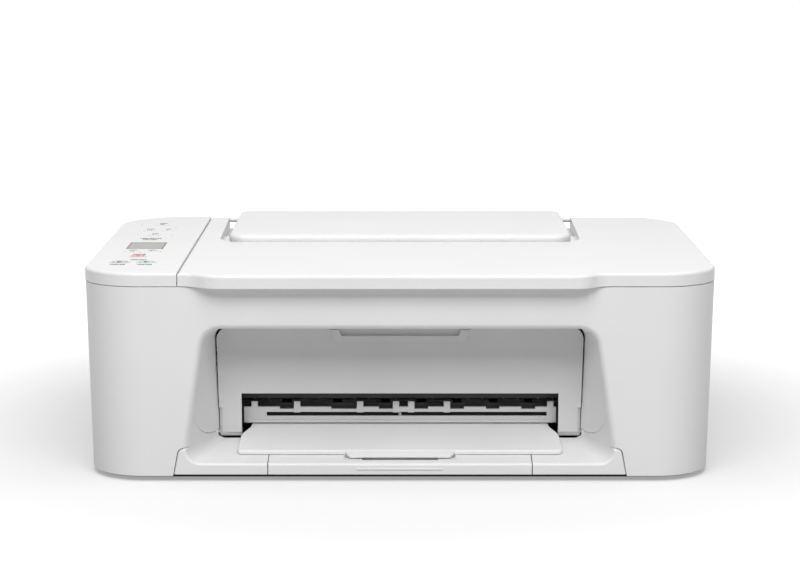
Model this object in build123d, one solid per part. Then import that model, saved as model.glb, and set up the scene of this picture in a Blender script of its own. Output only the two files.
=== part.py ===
from build123d import *
import math
import os

# A compact inkjet multifunction printer, in millimetres. X runs along the width with the
# control panel on the -X side, Y runs from front to back, and Z points up. The origin is at
# the middle of the footprint, on the surface that the rubber feet stand on.

# Outer case
width = 435.0
base_width = 428.0
front_y = -147.0
back_y = 158.0
front_corner = 40.0
back_corner = 50.0
case_wall = 2.5
case_bottom_z = 3.6
case_top_z = 134.3
cover_bottom_z = 134.8
cover_top_z = 144.0
edge_round = 2.2
panel_seam_x = -151.0
seam_gap = 0.5

# Feet and bottom case
foot_radius = 9.0
foot_height = 3.6
foot_socket = 0.6
floor_bottom_z = 3.0
floor_thickness = 2.3
base_inset = 1.2

# Front recess, from its mouth in the front wall to its back end
mouth_bottom_half = 147.9
mouth_top_half = 133.2
mouth_floor_z = 12.3
mouth_top_z = 105.6
mouth_top_round = 13.6
mouth_floor_round = 9.3
recess_back_y = -98.0
recess_bottom_half = 126.6
recess_top_half = 129.2
recess_floor_z = 19.6
recess_top_z = 99.5
recess_top_round = 8.0
recess_floor_round = 4.0
recess_wall = 2.2
mouth_bevel = 3.0
mouth_bevel_depth = 4.8
mouth_bevel_steps = 4

# Lower front pieces
base_front_bottom_z = 4.7
base_front_round = 2.0
base_seam_top_half = 151.5
base_seam_bottom_half = 155.0
base_seam_top_z = 23.0
base_seam_round = 4.0
wall_seam_front_z = 45.0
wall_seam_back_z = 27.0
drawer_half = 90.4
drawer_gap = 0.3
part_gap = 0.3

# Output tray and its extension
tray_half = 112.6
tray_front_y = -131.0
tray_front_z = 17.9
tray_back_y = -88.0
tray_back_z = 28.3
tray_thickness = 2.2
tray_knee = (111.1, -107.0)
tray_neck = (105.0, -95.0)
tray_back_half = 103.9
tray_corner = 4.0
lip_low_z = 15.1
lip_depth = 3.0
grip_half = 34.3
grip_root_half = 37.8
grip_front_y = -137.2
grip_front_z = 14.9
grip_thickness = 1.2
grip_slot_depth = 3.0
grip_slot_half = 26.0
runner_inner_x = 80.5
runner_width = 7.5
runner_front_y = -127.0
runner_bottom_z = 14.3
runner_top_z = 17.6
runner_back_y = 18.0
skirt_thickness = 1.6
skirt_bottom_z = 8.0
extension_bottom_z = 5.7
extension_top_z = 12.0
extension_back_y = 0.0
extension_half = 76.8
drawer_depth = 18.5
rib_half = 29.3
rib_proud = 0.5
rib_z = (8.0, 9.0)
groove_depth = 2.0
groove_height = 1.6

# Access cover behind the recess
access_y = -100.0
access_thickness = 2.6
access_top_z = 98.3
access_side_gap = 1.1
cutout_half = 111.0
cutout_top_z = 51.7
access_axis_y = -95.6
access_axis_z = 24.0
access_barrel = 3.4
leg_ease = 2.0
leg_ease_height = 22.0
access_pin = 1.6
pin_clearance = 0.06

# Document cover
bulge = 11.0
bulge_left = (-151.0, -120.0)
bulge_right = (118.0, 143.0)
cover_axis_y = 149.5
cover_axis_z = 139.4
cover_pin = 1.5
knuckle_radius = 3.0
knuckle_width = 6.0
left_knuckle_x = -145.0
right_knuckle_x = 165.0
cover_skin = 2.2
shelf_z = 138.0
shelf_back_y = 84.0
notch_front_half = 134.0
notch_back_half = 136.0
notch_front_y = 26.0

# Paper support, the raised cover at the back
support_half = 127.0
support_front_y = 9.0
support_back_y = 156.0
support_top_z = 149.0
support_bottom_z = 138.4
support_axis_y = 151.0
support_axis_z = 142.0
support_pin = 1.8
support_corner = 14.0
support_back_corner = 9.0
support_round = 3.0
support_pin_reach = 2.4
support_wall = 2.4

# Scanner
glass_top_z = 132.8
glass_thickness = 2.0
window_x = (-140.0, 159.0)
window_y = (-138.0, 80.0)
glass_margin = 5.0
scanner_bottom_z = 112.5
scanner_x = (-148.0, 207.0)
scanner_y = (-142.0, 84.0)
scan_bar_width = 18.0
scan_bar_height = 11.0
scan_rod_y = -28.0
scan_rod_z = 118.2
scan_rod_radius = 2.5
pad_thickness = 1.7

# Paper path
roller_z = 36.5
roller_radius = 6.0
shaft_radius = 3.0
feed_y = 34.0
exit_y = -74.0
sheet_half = 112.0
paper_gap = 0.15
pinch_radius = 4.0
star_radius = 4.0
platen_top_z = 42.0
drive_gear_radius = 19.0
pinion_radius = 5.0
pickup_radius = 14.0
bed_foot = (60.0, 46.0)
bed_head = (140.0, 131.0)
bed_thickness = 2.0
bed_half = 124.0
stack_thickness = 1.5
pickup_along = 20.0

# Chassis and carriage
plate_thickness = 1.0
left_plate_x = -164.0
right_plate_x = 194.0
chassis_front_y = -92.0
chassis_rear_y = 84.0
chassis_bottom_z = 8.0
chassis_top_z = 111.0
back_plate_y = 24.0
rod_radius = 4.0
rod_y = 13.0
rod_z = 62.0
carriage_home_x = 150.0
carriage_half = 38.0
carriage_front_y = -62.0
carriage_back_y = 8.0
carriage_bottom_z = 44.6
carriage_wall = 2.0
cartridge_height = 44.0
pulley_radius = 6.0
pulley_z = 80.0
belt_y = (17.6, 22.4)
belt_thickness = 1.2
motor_pulley_x = -150.0
idler_pulley_x = 182.0

# Openings in the back wall
inlet_x = -150.0
inlet_z = 24.0
inlet_width = 20.0
inlet_height = 14.0
usb_x = 150.0
usb_z = 40.0
usb_width = 12.6
usb_height = 11.4
rear_dip_half = 134.0
rear_dip_z = 128.0

# Bosses, screws and feet
chassis_foot_top = 8.0
boss_radius = 4.5
screw_places = [(-158.0, -80.0), (-158.0, 70.0), (188.0, -80.0), (188.0, 70.0)]
foot_places = [(-180.0, -105.0), (180.0, -105.0), (-180.0, 105.0), (180.0, 105.0)]
guide_rib = 2.4

# Case screws
screw_radius = 1.5
screw_head_radius = 3.0
screw_head_height = 2.0
screw_slot_half = 2.2
screw_slot_width = 0.8
screw_slot_depth = 0.8
screw_tip_z = floor_bottom_z + 1
foot_chamfer = 0.6

# Control panel, display and keys (centre X, Y, width and depth)
panel_skin = 2.0
lcd_x = (-198.2, -171.6)
lcd_y = (-30.7, 4.8)
lcd_window_drop = 0.4
lcd_glass = 1.5
button_height = 4.0
button_gap = 0.25
button_travel = 0.7
button_proud = 0.25
button_flange = 1.0
button_cup_wall = 1.2
button_cup_floor = 1.0
button_round = 0.2
button_slack = 0.05
lcd_module_depth = 3.0
lcd_clearance = 0.02
panel_seat = 1.2
buttons = {
    "power_button": (-185.0, 104.0, 11.0, 9.0),
    "network_button": (-191.5, 71.0, 9.0, 9.0),
    "information_button": (-178.0, 71.0, 9.0, 9.0),
    "direct_button": (-185.0, 45.0, 9.0, 9.0),
    "paper_button": (-192.0, -43.5, 10.0, 8.0),
    "plus_button": (-178.5, -43.5, 10.0, 8.0),
    "stop_button": (-185.5, -67.0, 12.0, 11.0),
    "black_start_button": (-195.0, -96.5, 14.0, 14.0),
    "color_start_button": (-176.4, -96.5, 14.0, 14.0),
}

# Pockets under the document cover
pocket_rib = 2.0
pocket_columns = 6
pocket_rows = 3

# Grip tab of the access cover
access_tab_half = 49.0
access_tab_inner = 43.0
access_tab_low_z = 88.5

# Scanner
scanner_wall = 2.5
scanner_corner = 34.0
frame_gap = 0.3
scan_bar_start_x = -138.0
cross_rib = 2.0
deck_opening_front = 96.0

# Rear tray
bed_angle = math.degrees(math.atan2(bed_head[1] - bed_foot[1], bed_head[0] - bed_foot[0]))
bed_length = math.hypot(bed_head[0] - bed_foot[0], bed_head[1] - bed_foot[1])
bed_place = Pos(0, bed_foot[0], bed_foot[1]) * Rot(bed_angle, 0, 0)
bed_rib_x = 110.0
bed_rib_thickness = 3.0
guide_rest_x = 106.0
guide_travel = 54.0
guide_thickness = 2.0
guide_span = (30.0, 100.0)
guide_height = 12.0
rack_width = 3.4
rack_depth = 2.7
rack_low = 62.3
rack_high = 78.3
rack_reach = 16.0
bed_gap = 0.3
bed_wall_top_y = 98.0
bed_wall_knee = (88.0, 116.0)
bed_wall_front = (70.0, 66.0)
bed_rib_y = (100.0, 138.0)
bed_wall = 2.0
axle_radius = 1.5
guide_pinion_teeth = 20

# Gears, belt and shafts
gear_x = -168.5
gear_width = 5.0
feed_teeth = 76
pickup_teeth = 104
pinion_teeth = 20
pulley_flange = 2.0
pulley_flange_width = 0.8
pickup_half = 20.0
belt_fit = 0.06
belt_side_gap = 0.2
belt_flange = 1.4
belt_flange_width = 0.7
belt_x = -174.0
drive_belt_width = 4.0
drive_pulley_radius = 9.0
drive_belt_thickness = 1.2
shaft_right_x = 197.0
mesh_gap = 0.15
motor_angle = -20.0
pinion_y = feed_y + (drive_gear_radius + pinion_radius) * math.cos(math.radians(motor_angle))
pinion_z = roller_z + (drive_gear_radius + pinion_radius) * math.sin(math.radians(motor_angle))
bed_cos = math.cos(math.radians(bed_angle))
bed_sin = math.sin(math.radians(bed_angle))
pickup_y = bed_foot[0] + pickup_along * bed_cos - (pickup_radius + stack_thickness) * bed_sin
pickup_z = bed_foot[1] + pickup_along * bed_sin + (pickup_radius + stack_thickness) * bed_cos
pickup_gear_radius = math.hypot(pickup_y - feed_y, pickup_z - roller_z) - drive_gear_radius
pinch_z = roller_z + roller_radius + paper_gap + pinch_radius
star_z = roller_z + roller_radius + paper_gap + star_radius

# Exit roller sleeves (middle X and length)
sleeves = [
    (-97.9, 28.3), (-62.1, 29.3), (-27.3, 27.9), (2.4, 19.0), (28.0, 19.0), (53.3, 19.4),
    (78.7, 19.4), (103.2, 17.6)]

# Feed motor
feed_motor_radius = 13.0
motor_shaft = 1.5
feed_motor_length = 25.0
carriage_motor_length = 28.0

# Pinch rollers
pinch_shaft = 1.2
star_shaft = 0.8

# Platen
platen_ribs = 11
platen_front_y = -82.2
platen_back_y = 26.5
platen_low_z = 26.0
platen_leg_x = (102.0, 106.0)
shaft_room = 0.5

# Black bar over the exit
holder_lip_z = 44.8

# Exit guide
exit_guide_y = (-90.0, -87.0)
exit_guide_z = (28.9, 40.0)
exit_guide_slot_x = (-94.0, 103.5)
exit_guide_slot_z = (33.4, 36.4)
exit_tab_top = 44.0
exit_tab_width = 4.5
exit_tabs = [-102.5, -72.5, -28.1, -2.8, 7.9, 33.1, 106.0]
exit_notches = [
    (-84.7, -74.9), (-48.5, -30.5), (-14.9, -5.1), (10.2, 19.8), (35.4, 45.1), (60.6, 70.1), (85.5, 95.3)]

# Chassis plates
foot_lip = 12.0
foot_half = 8.0
back_plate_low_z = 51.0
side_rear_z = 84.0
side_front_z = 70.0
side_rear_slope = 20.0
side_front_slope = 14.0
idler_axle_radius = 2.0
idler_axle_reach = 1.2

# Carriage walls and cartridge locks
carriage_wall_top = 90.0
lock_axis_y = 2.0
lock_z = 93.4
lock_thickness = 2.2
lock_pin = 1.4
lock_barrel = 2.4
cartridge_gap = 0.3
cheek_top = 96.2
bearing_half = 30.0
bearing_height = 8.0
clamp_half = 8.0
cradle_step_z = 13.0
cradle_step_y = 12.0

# Service station
station_half = 34.0
station_y = (-50.0, 2.0)
station_top_z = 38.0
station_wall = 3.0
station_floor_z = 20.0
cap_half = 11.0
cap_y = (-44.0, -12.0)
cap_wall = 2.0
wiper_y = (-8.0, -6.6)

# Logic board
board_x = (20.0, 166.0)
board_top_z = 92.0
chips = [(50.0, 60.0, 16.0, 16.0), (80.0, 40.0, 12.0, 12.0), (110.0, 66.0, 20.0, 9.0)]
board_y = 146.0
board_thickness = 1.6
chip_height = 1.5
port_wall = 1.6
port_tongue = (5.6, 2.8)
port_back_y = back_y - 0.2

# Power supply
supply_x = (-200.0, -135.0)
supply_y = (88.0, 138.0)
supply_top_z = 50.0
supply_round = 2.0
vent_slots = 6
vent_width = 4.0
vent_depth = 1.5

# Power inlet
socket_depth = 12.0
socket_lobe = 4.0
socket_web = 3.0
socket_pin = 1.2


def box(x0, x1, y0, y1, z0, z1):
    """A box between two opposite corners."""
    middle = ((x0 + x1) / 2, (y0 + y1) / 2, (z0 + z1) / 2)
    return Pos(*middle) * Box(x1 - x0, y1 - y0, z1 - z0)


def rod_along_x(radius, x0, x1, y, z):
    """A round bar along X."""
    return Pos((x0 + x1) / 2, y, z) * Rot(0, 90, 0) * Cylinder(radius, x1 - x0)


def rod_along_y(radius, y0, y1, x, z):
    """A round bar along Y."""
    return Pos(x, (y0 + y1) / 2, z) * Rot(90, 0, 0) * Cylinder(radius, y1 - y0)


def rod_along_z(radius, z0, z1, x, y):
    """A round bar along Z."""
    return Pos(x, y, (z0 + z1) / 2) * Cylinder(radius, z1 - z0)


def prism_along_x(points, x0, x1):
    """A solid from x0 to x1 whose outline is a polygon of (y, z) points."""
    face = Plane.YZ.offset(x0) * make_face(Polyline(*points, close=True))
    return extrude(face, x1 - x0, dir=(1, 0, 0))


def prism_along_y(face, y0, y1):
    """A solid from y0 to y1 whose outline is a flat (x, z) face."""
    return extrude(Plane.XZ.offset(-y0) * face, y1 - y0, dir=(0, 1, 0))


def blend(a, b, share):
    """The value that lies the given share of the way from a to b."""
    return a + (b - a) * share


def half_at(z):
    """Half the width of the drafted case at a height."""
    share = (z - case_bottom_z) / (cover_top_z - case_bottom_z)
    return blend(base_width, width, share) / 2


def plan(half, inset=0.0):
    """The case outline seen from above, with its rounded corners."""
    depth = back_y - front_y - 2 * inset
    face = Pos(0, (front_y + back_y) / 2) * Rectangle(2 * (half - inset), depth)
    front = [v for v in face.vertices() if v.Y < 0]
    face = fillet(front, front_corner - inset)
    back = [v for v in face.vertices() if v.Y > back_y - inset - 1]
    return fillet(back, back_corner - inset)


def case_block(z0, z1, inset=0.0):
    """The drafted case volume between two heights."""
    low = Pos(0, 0, z0) * plan(half_at(z0), inset)
    high = Pos(0, 0, z1) * plan(half_at(z1), inset)
    return loft([low.face(), high.face()], ruled=True)


def recess_outline(y, grow=0.0):
    """The outline of the front recess at a depth, drawn as an (x, z) face."""
    share = (y - front_y) / (recess_back_y - front_y)
    low_half = blend(mouth_bottom_half, recess_bottom_half, share) + grow
    high_half = blend(mouth_top_half, recess_top_half, share) + grow
    low_z = blend(mouth_floor_z, recess_floor_z, share) - grow
    high_z = blend(mouth_top_z, recess_top_z, share) + grow
    high_round = blend(mouth_top_round, recess_top_round, share) + grow
    low_round = blend(mouth_floor_round, recess_floor_round, share) + grow
    corners = [(-low_half, low_z), (low_half, low_z), (high_half, high_z), (-high_half, high_z)]
    face = make_face(Polyline(*corners, close=True))
    face = fillet([v for v in face.vertices() if v.Y < 60], low_round)
    return fillet([v for v in face.vertices() if v.Y > high_z - 1], high_round)


def recess_block(y0, y1, grow=0.0):
    """The volume of the front recess between two depths."""
    near = Plane.XZ.offset(-y0) * recess_outline(y0, grow)
    far = Plane.XZ.offset(-y1) * recess_outline(y1, grow)
    return loft([near.face(), far.face()], ruled=True)


def lower_zone(shrink=0.0):
    """The volume taken by the lower front pieces, bounded by their seams with the case."""
    low_z = base_front_bottom_z if shrink else case_bottom_z - 1
    slope = (base_seam_bottom_half - base_seam_top_half) / (base_seam_top_z - base_front_bottom_z)
    low_half = base_seam_bottom_half + slope * (base_front_bottom_z - low_z + shrink) - shrink
    high_half = base_seam_top_half - shrink
    high_z = base_seam_top_z - shrink
    corners = [(-low_half, low_z), (low_half, low_z), (high_half, high_z), (-high_half, high_z)]
    face = make_face(Polyline(*corners, close=True))
    face = fillet([v for v in face.vertices() if v.Y > high_z - 1], base_seam_round)
    front = prism_along_y(face, front_y - 1, front_y + 6)
    near = front_y + 6
    seam_near = (near, wall_seam_front_z - shrink)
    seam_far = (recess_back_y + 2, wall_seam_back_z - shrink)
    middle = (blend(near, recess_back_y, 0.35), blend(wall_seam_front_z, wall_seam_back_z, 0.78) - shrink)
    edge = ThreePointArc(seam_near, middle, seam_far)
    rest = Polyline(seam_far, (recess_back_y + 2, low_z), (near, low_z), seam_near)
    side = Plane.YZ.offset(-high_half) * make_face([edge, rest])
    return front + extrude(side, 2 * high_half, dir=(1, 0, 0))


def recess_skin():
    """The front wall of the case around the recess, with the walls that lead inwards."""
    outer = recess_block(front_y, recess_back_y, recess_wall)
    inner = recess_block(front_y - 1, recess_back_y + 1)
    return outer - inner


def mouth_flare():
    """What is cut off the edge of the mouth so that the front rolls into the recess."""
    turns = [math.radians(90 * step / mouth_bevel_steps) for step in range(mouth_bevel_steps + 1)]
    stations = [(mouth_bevel_depth * (1 - math.cos(a)), mouth_bevel * (1 - math.sin(a))) for a in turns]
    cut = recess_block(front_y - 0.5, front_y, mouth_bevel)
    for (near_y, near_grow), (far_y, far_grow) in zip(stations, stations[1:]):
        near = Plane.XZ.offset(-(front_y + near_y)) * recess_outline(front_y + near_y, near_grow)
        far = Plane.XZ.offset(-(front_y + far_y)) * recess_outline(front_y + far_y, far_grow)
        cut += loft([near.face(), far.face()], ruled=True)
    return cut


def main_case():
    """The outer shell: front, sides and back, with the recess walls moulded on."""
    shell = case_block(case_bottom_z, case_top_z)
    shell -= case_block(case_bottom_z - 1, case_top_z + 1, case_wall)
    mouth = recess_block(front_y - 1, front_y + case_wall + 1)
    shell = shell - mouth + (recess_skin() - box(-250, 250, -150, front_y, 0, 150))
    shell -= mouth_flare()
    shell -= lower_zone()
    wall_cut = back_y - case_wall - 1
    half_w = inlet_width / 2 + part_gap
    half_h = inlet_height / 2 + part_gap
    shell -= box(inlet_x - half_w, inlet_x + half_w, wall_cut, back_y + 1, inlet_z - half_h, inlet_z + half_h)
    half_w = usb_width / 2 + part_gap
    half_h = usb_height / 2 + part_gap
    shell -= box(usb_x - half_w, usb_x + half_w, wall_cut, back_y + 1, usb_z - half_h, usb_z + half_h)
    shell -= box(-rear_dip_half, rear_dip_half, wall_cut, back_y + 1, rear_dip_z, case_top_z + 1)
    return shell


def bottom_case():
    """The floor of the printer with its rim, the tray guides and the chassis bosses."""
    floor_top = floor_bottom_z + floor_thickness
    low = Pos(0, 0, floor_bottom_z) * plan(base_width / 2, base_inset)
    high = Pos(0, 0, case_bottom_z) * plan(base_width / 2)
    body = loft([low.face(), high.face()], ruled=True)
    inside = plan(base_width / 2, case_wall + part_gap)
    body += Pos(0, 0, case_bottom_z) * extrude(inside, floor_top - case_bottom_z)
    front_cut = front_y + 9.0
    body -= box(-width / 2, width / 2, front_y - 1, front_cut, base_front_bottom_z, floor_top + 1)
    drawer_room = drawer_half + part_gap
    body -= box(-drawer_room, drawer_room, front_y - 1, front_cut, base_front_bottom_z - part_gap, floor_top + 1)
    for side in (-1, 1):
        middle = side * (runner_inner_x + runner_width / 2)
        rib_y = (front_y + drawer_depth + part_gap, runner_back_y + 2)
        half = guide_rib / 2
        body += box(middle - half, middle + half, *rib_y, floor_top, runner_bottom_z - part_gap)
    for x, y in screw_places:
        body += rod_along_z(boss_radius, floor_top, chassis_foot_top, x, y)
        body -= rod_along_z(screw_radius, screw_tip_z, chassis_foot_top, x, y)
    for x, y in foot_places:
        body -= rod_along_z(foot_radius + part_gap, floor_bottom_z - 1, floor_bottom_z + foot_socket, x, y)
    return body


def case_screws():
    """The four identical screws that hold the chassis feet to the bottom case."""
    screws = []
    top = chassis_foot_top + plate_thickness
    for x, y in screw_places:
        head_top = top + screw_head_height
        shank = rod_along_z(screw_radius, screw_tip_z, top, x, y)
        head = rod_along_z(screw_head_radius, top, head_top, x, y)
        slot_z = (head_top - screw_slot_depth, head_top)
        half = screw_slot_width / 2
        slot = box(x - screw_slot_half, x + screw_slot_half, y - half, y + half, *slot_z)
        cross = box(x - half, x + half, y - screw_slot_half, y + screw_slot_half, *slot_z)
        screws.append(shank + head - slot - cross)
    return Compound(children=screws)


def rubber_feet():
    """The four identical rubber feet, each seated in a round socket of the bottom case."""
    feet = []
    for x, y in foot_places:
        foot = rod_along_z(foot_radius, 0, foot_height, x, y)
        foot = chamfer(foot.edges().group_by(Axis.Z)[0], foot_chamfer)
        feet.append(foot)
    return Compound(children=feet)


def lower_front_skin():
    """Front plate and recess floor of the lower front, before it is split in three."""
    plate_face = make_face(Polyline((-160, 4), (160, 4), (160, 30), (-160, 30), close=True))
    plate = prism_along_y(plate_face, front_y, front_y + case_wall)
    plate -= recess_block(front_y - 1, front_y + case_wall + 1)
    skin = (plate + recess_skin()) & lower_zone(part_gap)
    front_edges = skin.edges().filter_by_position(Axis.Y, front_y - 0.01, front_y + 0.01)
    rim = [e for e in front_edges if e.center().Z > mouth_floor_z - 0.1 and abs(e.center().X) < mouth_bottom_half]
    return fillet(rim, base_front_round)


def side_base_front(side):
    """One of the two fixed lower front pieces beside the tray."""
    skin = lower_front_skin()
    inner = drawer_half + part_gap
    keep = box(inner, 170, front_y - 1, recess_back_y, 0, 60)
    hinge_room = rod_along_x(access_barrel + 1, 0, 170, access_axis_y, access_axis_z)
    if side < 0:
        keep = mirror(keep, Plane.YZ)
        hinge_room = mirror(hinge_room, Plane.YZ)
    return (skin & keep) - hinge_room


def top_block(z0, z1, inset=0.0):
    """The flat-sided volume of the panel and the document cover."""
    return Pos(0, 0, z0) * extrude(plan(width / 2, inset), z1 - z0)


def key_outline(x, y, wide, deep, grow=0.0):
    """A key seen from above, a rectangle with fully rounded ends."""
    face = Rectangle(wide + 2 * grow, deep + 2 * grow)
    return Pos(x, y) * fillet(face.vertices(), 0.45 * min(wide, deep) + grow)


def operation_panel():
    """The fixed control panel strip along the left side, hollow from below."""
    left_part = box(-250, panel_seam_x, -170, 170, 0, 200)
    skin = top_block(cover_bottom_z, cover_top_z)
    skin = fillet(skin.edges().group_by(Axis.Z)[-1], edge_round)
    skin = skin & left_part
    hollow = top_block(cover_bottom_z - 1, cover_top_z - panel_skin, panel_skin + 0.6)
    hollow = hollow & box(-250, panel_seam_x - panel_skin, -170, 170, 0, 200)
    seat = top_block(case_top_z, cover_bottom_z, panel_seat)
    seat -= top_block(case_top_z - 1, cover_bottom_z + 1, case_wall)
    panel = (skin - hollow) + (seat & left_part)
    panel -= box(*lcd_x, *lcd_y, cover_top_z - lcd_window_drop, cover_top_z + 1)
    rim = lcd_glass
    well_x, well_y = (lcd_x[0] + rim, lcd_x[1] - rim), (lcd_y[0] + rim, lcd_y[1] - rim)
    panel -= box(*well_x, *well_y, cover_bottom_z - 1, cover_top_z)
    for x, y, wide, deep in buttons.values():
        well = extrude(key_outline(x, y, wide, deep, button_gap), 10)
        panel -= Pos(0, 0, cover_top_z - 5) * well
    shelf_z0 = cover_top_z - panel_skin - button_height
    for x, y, wide, deep in buttons.values():
        ring_out = extrude(key_outline(x, y, wide, deep, button_flange + button_cup_wall), button_height)
        ring_in = extrude(key_outline(x, y, wide, deep, button_flange + button_gap), button_height)
        sole = extrude(key_outline(x, y, wide, deep, button_flange + button_cup_wall), button_cup_floor)
        panel += Pos(0, 0, shelf_z0) * (ring_out - ring_in)
        panel += Pos(0, 0, shelf_z0 - button_cup_floor) * sole
    return panel


def panel_button(x, y, wide, deep):
    """One key: a cap that stands just proud of the panel, with a flange that stops it."""
    well_floor = cover_top_z - panel_skin - button_height
    flange_top = cover_top_z - panel_skin - button_slack
    flange_low = well_floor + button_travel + 2 * button_slack
    flange = extrude(key_outline(x, y, wide, deep, button_flange), flange_top - flange_low)
    cap = extrude(key_outline(x, y, wide, deep), cover_top_z + button_proud - flange_low)
    cap = fillet(cap.edges().group_by(Axis.Z)[-1], button_round)
    return Pos(0, 0, flange_low) * (cap + flange)


def lcd_window():
    """The clear window of the display, seated in its rebate in the panel."""
    x0, x1 = lcd_x
    y0, y1 = lcd_y
    c = lcd_clearance
    top = cover_top_z - c
    window = box(x0 + c, x1 - c, y0 + c, y1 - c, cover_top_z - lcd_window_drop, top)
    gap = lcd_glass + button_slack
    module = box(x0 + gap, x1 - gap, y0 + gap, y1 - gap, top - lcd_module_depth, cover_top_z - lcd_window_drop)
    return window + module


def s_curve(start, end):
    """Two equal arcs that step from one front line to another."""
    middle = ((start[0] + end[0]) / 2, (start[1] + end[1]) / 2)
    first = TangentArc(start, middle, tangent=(1, 0))
    second = TangentArc(middle, end, tangent=first % 1)
    return [first, second]


def cover_outline():
    """The document cover seen from above, with the bulge along its front edge."""
    seam = panel_seam_x + seam_gap
    face = plan(width / 2) & (Pos(seam + 250, 0) * Rectangle(500, 400))
    back_cut = cover_axis_y + cover_top_z - cover_axis_z
    face -= Pos(0, back_cut + 50) * Rectangle(600, 100)
    left, right = bulge_left, bulge_right
    full = front_y - bulge
    step_in = s_curve((seam, front_y), (left[1], full))
    step_out = s_curve((right[0], full), (right[1], front_y))
    front = Line((left[1], full), (right[0], full))
    back = Polyline((right[1], front_y), (right[1], front_y + 20), (seam, front_y + 20), (seam, front_y))
    return face + make_face([*step_in, front, *step_out, back])


def notch_block(z0, z1, grow=0.0):
    """The notch of the document cover that the paper support lies in."""
    front = support_front_y - 1.5 - grow
    a = notch_front_half + grow
    b = notch_back_half + grow
    lip = support_half + 1.2 + grow
    back = back_y + 10
    left = [(-b, back), (-a, notch_front_y), (-lip, front)]
    right = [(-x, y) for x, y in reversed(left)]
    face = make_face(Polyline(*left, *right, close=True))
    return Pos(0, 0, z0) * extrude(face, z1 - z0)


def cover_knuckle_slot(x):
    """The slot under a rear arm that clears one fixed hinge knuckle as the cover opens."""
    half = knuckle_width / 2 + part_gap
    y0 = cover_axis_y - knuckle_radius - 0.4
    top = cover_axis_z + knuckle_radius + 0.4
    return box(x - half, x + half, y0, back_y, cover_bottom_z - 1, top)


def cover_rear_round():
    """What is cut off the back edge so that it turns about the hinge axis."""
    radius = cover_top_z - cover_axis_z
    block = box(-250, 250, cover_axis_y, back_y + 5, cover_bottom_z - 1, cover_top_z + 1)
    return block - rod_along_x(radius, -260, 260, cover_axis_y, cover_axis_z)


def document_cover():
    """The hinged cover over the glass, ribbed underneath, with two arms beside its notch."""
    high = cover_top_z - cover_bottom_z
    body = Pos(0, 0, cover_bottom_z) * extrude(cover_outline(), high)
    body = fillet(body.edges().group_by(Axis.Z)[-1], edge_round)
    body -= notch_block(shelf_z, cover_top_z + 1)
    open_part = box(-250, 250, shelf_back_y, back_y + 10, cover_bottom_z - 1, cover_top_z + 1)
    body -= notch_block(cover_bottom_z - 1, cover_top_z + 1) & open_part
    body -= cover_rear_round()
    x0, x1 = window_x[0] + 4, window_x[1] - 4
    y0, y1 = window_y[0] + 4, support_front_y - 6
    step_x = (x1 - x0) / pocket_columns
    step_y = (y1 - y0) / pocket_rows
    half_rib = pocket_rib / 2
    for column in range(pocket_columns):
        for row in range(pocket_rows):
            ax = x0 + column * step_x + half_rib
            ay = y0 + row * step_y + half_rib
            pocket_top = cover_top_z - cover_skin
            size_x = step_x - pocket_rib
            size_y = step_y - pocket_rib
            body -= box(ax, ax + size_x, ay, ay + size_y, cover_bottom_z - 1, pocket_top)
    for x in (left_knuckle_x, right_knuckle_x):
        body -= cover_knuckle_slot(x)
        reach = knuckle_width / 2 + 2.0
        body -= rod_along_x(cover_pin + pin_clearance, x - reach, x + reach, cover_axis_y, cover_axis_z)
    for side in (-1, 1):
        ends = sorted((side * (support_half + 1), side * (notch_back_half + support_pin_reach + 0.2)))
        body -= rod_along_x(support_pin + pin_clearance, *ends, support_axis_y, support_axis_z)
    return body


def platen_pad():
    """The white foam pad under the document cover that holds the sheet flat."""
    x0, x1 = window_x
    y0, y1 = window_y
    pad = box(x0 + 2, x1 - 2, y0 + 2, y1 - 2, cover_bottom_z - pad_thickness, cover_bottom_z)
    return fillet(pad.edges().filter_by(Axis.Z), 3)


def paper_support():
    """The raised cover at the back that folds up and back to hold the paper stack."""
    middle_y = (support_front_y + support_back_y) / 2
    depth = support_back_y - support_front_y
    face = Pos(0, middle_y) * Rectangle(2 * support_half, depth)
    face = fillet([v for v in face.vertices() if v.Y < middle_y], support_corner)
    face = fillet([v for v in face.vertices() if v.Y > support_back_y - 1], support_back_corner)
    body = Pos(0, 0, support_bottom_z) * extrude(face, support_top_z - support_bottom_z)
    body = fillet(body.edges().group_by(Axis.Z)[-1], support_round)
    under = Pos(0, middle_y - 3) * Rectangle(2 * (support_half - 5), depth - 16)
    under = fillet(under.vertices(), support_back_corner - 4)
    hollow_high = support_top_z - support_wall - support_bottom_z + 1
    body -= Pos(0, 0, support_bottom_z - 1) * extrude(under, hollow_high)
    rib_y = (support_front_y + 4, support_back_y - 10)
    for place in range(-4, 5):
        x = place * support_half / 5
        body += box(x - 0.8, x + 0.8, *rib_y, support_bottom_z + 2, support_top_z - 2)
    for side in (-1, 1):
        ends = sorted((side * (support_half - 3), side * (notch_back_half + support_pin_reach)))
        body += rod_along_x(support_pin, *ends, support_axis_y, support_axis_z)
    return body


def access_outline():
    """The access cover seen from the front, wide above and with a leg at each side."""
    share = (access_y - front_y) / (recess_back_y - front_y)
    low_half = blend(mouth_bottom_half, recess_bottom_half, share) - access_side_gap
    high_half = blend(mouth_top_half, recess_top_half, share) - access_side_gap
    low_z = access_axis_z
    corners = [(-low_half, low_z), (-high_half, access_top_z), (high_half, access_top_z), (low_half, low_z)]
    inner = [(cutout_half, low_z), (cutout_half, cutout_top_z)]
    inner += [(-x, z) for x, z in reversed(inner)]
    face = make_face(Polyline(*corners, *inner, close=True))
    return fillet([v for v in face.vertices() if v.Y > access_top_z - 1], recess_top_round)


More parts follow.
